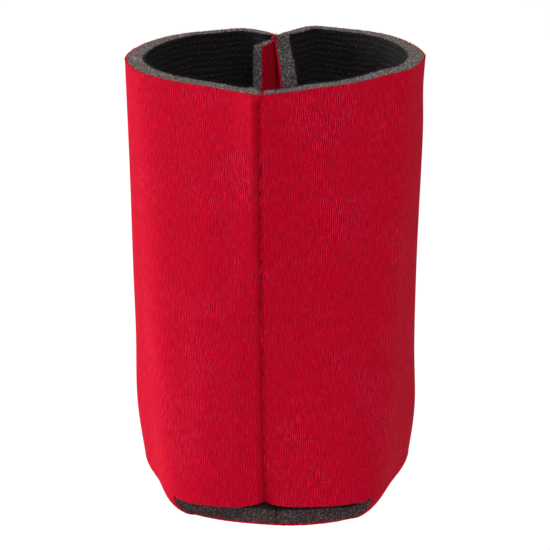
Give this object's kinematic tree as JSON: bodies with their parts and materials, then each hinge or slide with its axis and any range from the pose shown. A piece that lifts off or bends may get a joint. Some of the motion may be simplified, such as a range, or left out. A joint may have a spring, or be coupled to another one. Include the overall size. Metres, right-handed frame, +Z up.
{
  "type": "collapsible can sleeve",
  "caption": "Soft foam can sleeve that stands upright, open at the top, with side seams front and rear and a floor that folds flat.",
  "frame": {"origin": "middle of the sleeve's outline in plan, on the surface that it stands on", "axes": "+Z up to the rim, +X across the mouth to the right side panel, +Y to the rear seam, so the front seam faces -Y"},
  "size_m": [0.071, 0.0634, 0.1044],
  "materials": {
    "outer_knit": "matte jersey knit",
    "foam_core": "cut open-cell foam",
    "lining": "brushed knit",
    "thread": "spun polyester"
  },
  "bodies": {
    "left_side": {"left_side_fabric": "outer_knit", "left_side_foam": "foam_core", "left_side_lining": "lining"},
    "left_front": {"left_front_fabric": "outer_knit", "left_front_foam": "foam_core", "left_front_lining": "lining"},
    "left_rear": {"left_rear_fabric": "outer_knit", "left_rear_foam": "foam_core", "left_rear_lining": "lining"},
    "front_seam": {"front_seam_left_fabric": "outer_knit", "front_seam_left_foam": "foam_core", "front_seam_left_lining": "lining", "front_seam_right_fabric": "outer_knit", "front_seam_right_foam": "foam_core", "front_seam_right_lining": "lining", "front_needle_thread": "thread", "front_bobbin_thread": "thread"},
    "rear_seam_left": {"rear_seam_left_fabric": "outer_knit", "rear_seam_left_foam": "foam_core", "rear_seam_left_lining": "lining", "rear_bobbin_thread": "thread"},
    "rear_seam_right": {"rear_seam_right_fabric": "outer_knit", "rear_seam_right_foam": "foam_core", "rear_seam_right_lining": "lining", "rear_needle_thread": "thread"},
    "right_front": {"right_front_fabric": "outer_knit", "right_front_foam": "foam_core", "right_front_lining": "lining"},
    "right_side": {"right_side_fabric": "outer_knit", "right_side_foam": "foam_core", "right_side_lining": "lining"},
    "right_rear": {"right_rear_fabric": "outer_knit", "right_rear_foam": "foam_core", "right_rear_lining": "lining"},
    "left_floor": {"left_floor_fabric": "outer_knit", "left_floor_foam": "foam_core", "left_floor_lining": "lining", "left_crease_fabric": "outer_knit", "left_crease_foam": "foam_core", "left_crease_lining": "lining"},
    "right_floor": {"right_floor_fabric": "outer_knit", "right_floor_foam": "foam_core", "right_floor_lining": "lining", "right_crease_fabric": "outer_knit", "right_crease_foam": "foam_core", "right_crease_lining": "lining"}
  },
  "joints": [
    {"name": "left_front_fold", "type": "hinge", "parent": "left_side", "child": "left_front", "pos_m": [-0.0355, -0.00592, 0.0522], "axis": [0, 0, -1], "range_deg": [0, 54]},
    {"name": "left_rear_fold", "type": "hinge", "parent": "left_side", "child": "left_rear", "pos_m": [-0.0355, 0.01009, 0.0522], "axis": [0, 0, 1], "range_deg": [0, 54]},
    {"name": "front_seam_left_fold", "type": "hinge", "parent": "left_front", "child": "front_seam", "pos_m": [-0.0049, -0.02246, 0.0522], "axis": [0, 0, 1], "range_deg": [0, 54]},
    {"name": "front_seam_right_fold", "type": "hinge", "parent": "front_seam", "child": "right_front", "pos_m": [0.0049, -0.02246, 0.0522], "axis": [0, 0, 1], "range_deg": [0, 54]},
    {"name": "right_front_fold", "type": "hinge", "parent": "right_front", "child": "right_side", "pos_m": [0.0355, -0.00592, 0.0522], "axis": [0, 0, -1], "range_deg": [0, 54]},
    {"name": "right_rear_fold", "type": "hinge", "parent": "right_side", "child": "right_rear", "pos_m": [0.0355, 0.01009, 0.0522], "axis": [0, 0, -1], "range_deg": [0, 54]},
    {"name": "rear_seam_left_fold", "type": "hinge", "parent": "left_rear", "child": "rear_seam_left", "pos_m": [-0.0049, 0.02663, 0.0522], "axis": [0, 0, -1], "range_deg": [0, 54]},
    {"name": "rear_seam_right_fold", "type": "hinge", "parent": "right_rear", "child": "rear_seam_right", "pos_m": [0.0049, 0.02663, 0.0522], "axis": [0, 0, 1], "range_deg": [0, 54]},
    {"name": "left_floor_fold", "type": "hinge", "parent": "left_side", "child": "left_floor", "pos_m": [-0.0355, 0.00209, 0], "axis": [0, 1, 0], "range_deg": [0, 82], "deforming": ["left_crease_fabric", "left_crease_foam", "left_crease_lining"]},
    {"name": "right_floor_fold", "type": "hinge", "parent": "right_side", "child": "right_floor", "pos_m": [0.0355, 0.00209, 0], "axis": [0, -1, 0], "range_deg": [0, 82], "deforming": ["right_crease_fabric", "right_crease_foam", "right_crease_lining"]}
  ],
  "couplings": [
    {"joint": "left_rear_fold", "follows": "left_front_fold", "ratio": 1},
    {"joint": "front_seam_left_fold", "follows": "left_front_fold", "ratio": 1},
    {"joint": "front_seam_right_fold", "follows": "left_front_fold", "ratio": 1},
    {"joint": "right_front_fold", "follows": "left_front_fold", "ratio": 1},
    {"joint": "right_rear_fold", "follows": "left_front_fold", "ratio": 1},
    {"joint": "rear_seam_left_fold", "follows": "left_front_fold", "ratio": 1},
    {"joint": "rear_seam_right_fold", "follows": "left_front_fold", "ratio": 1},
    {"joint": "left_floor_fold", "follows": "left_front_fold", "ratio": 1.5185},
    {"joint": "right_floor_fold", "follows": "left_front_fold", "ratio": 1.5185}
  ]
}
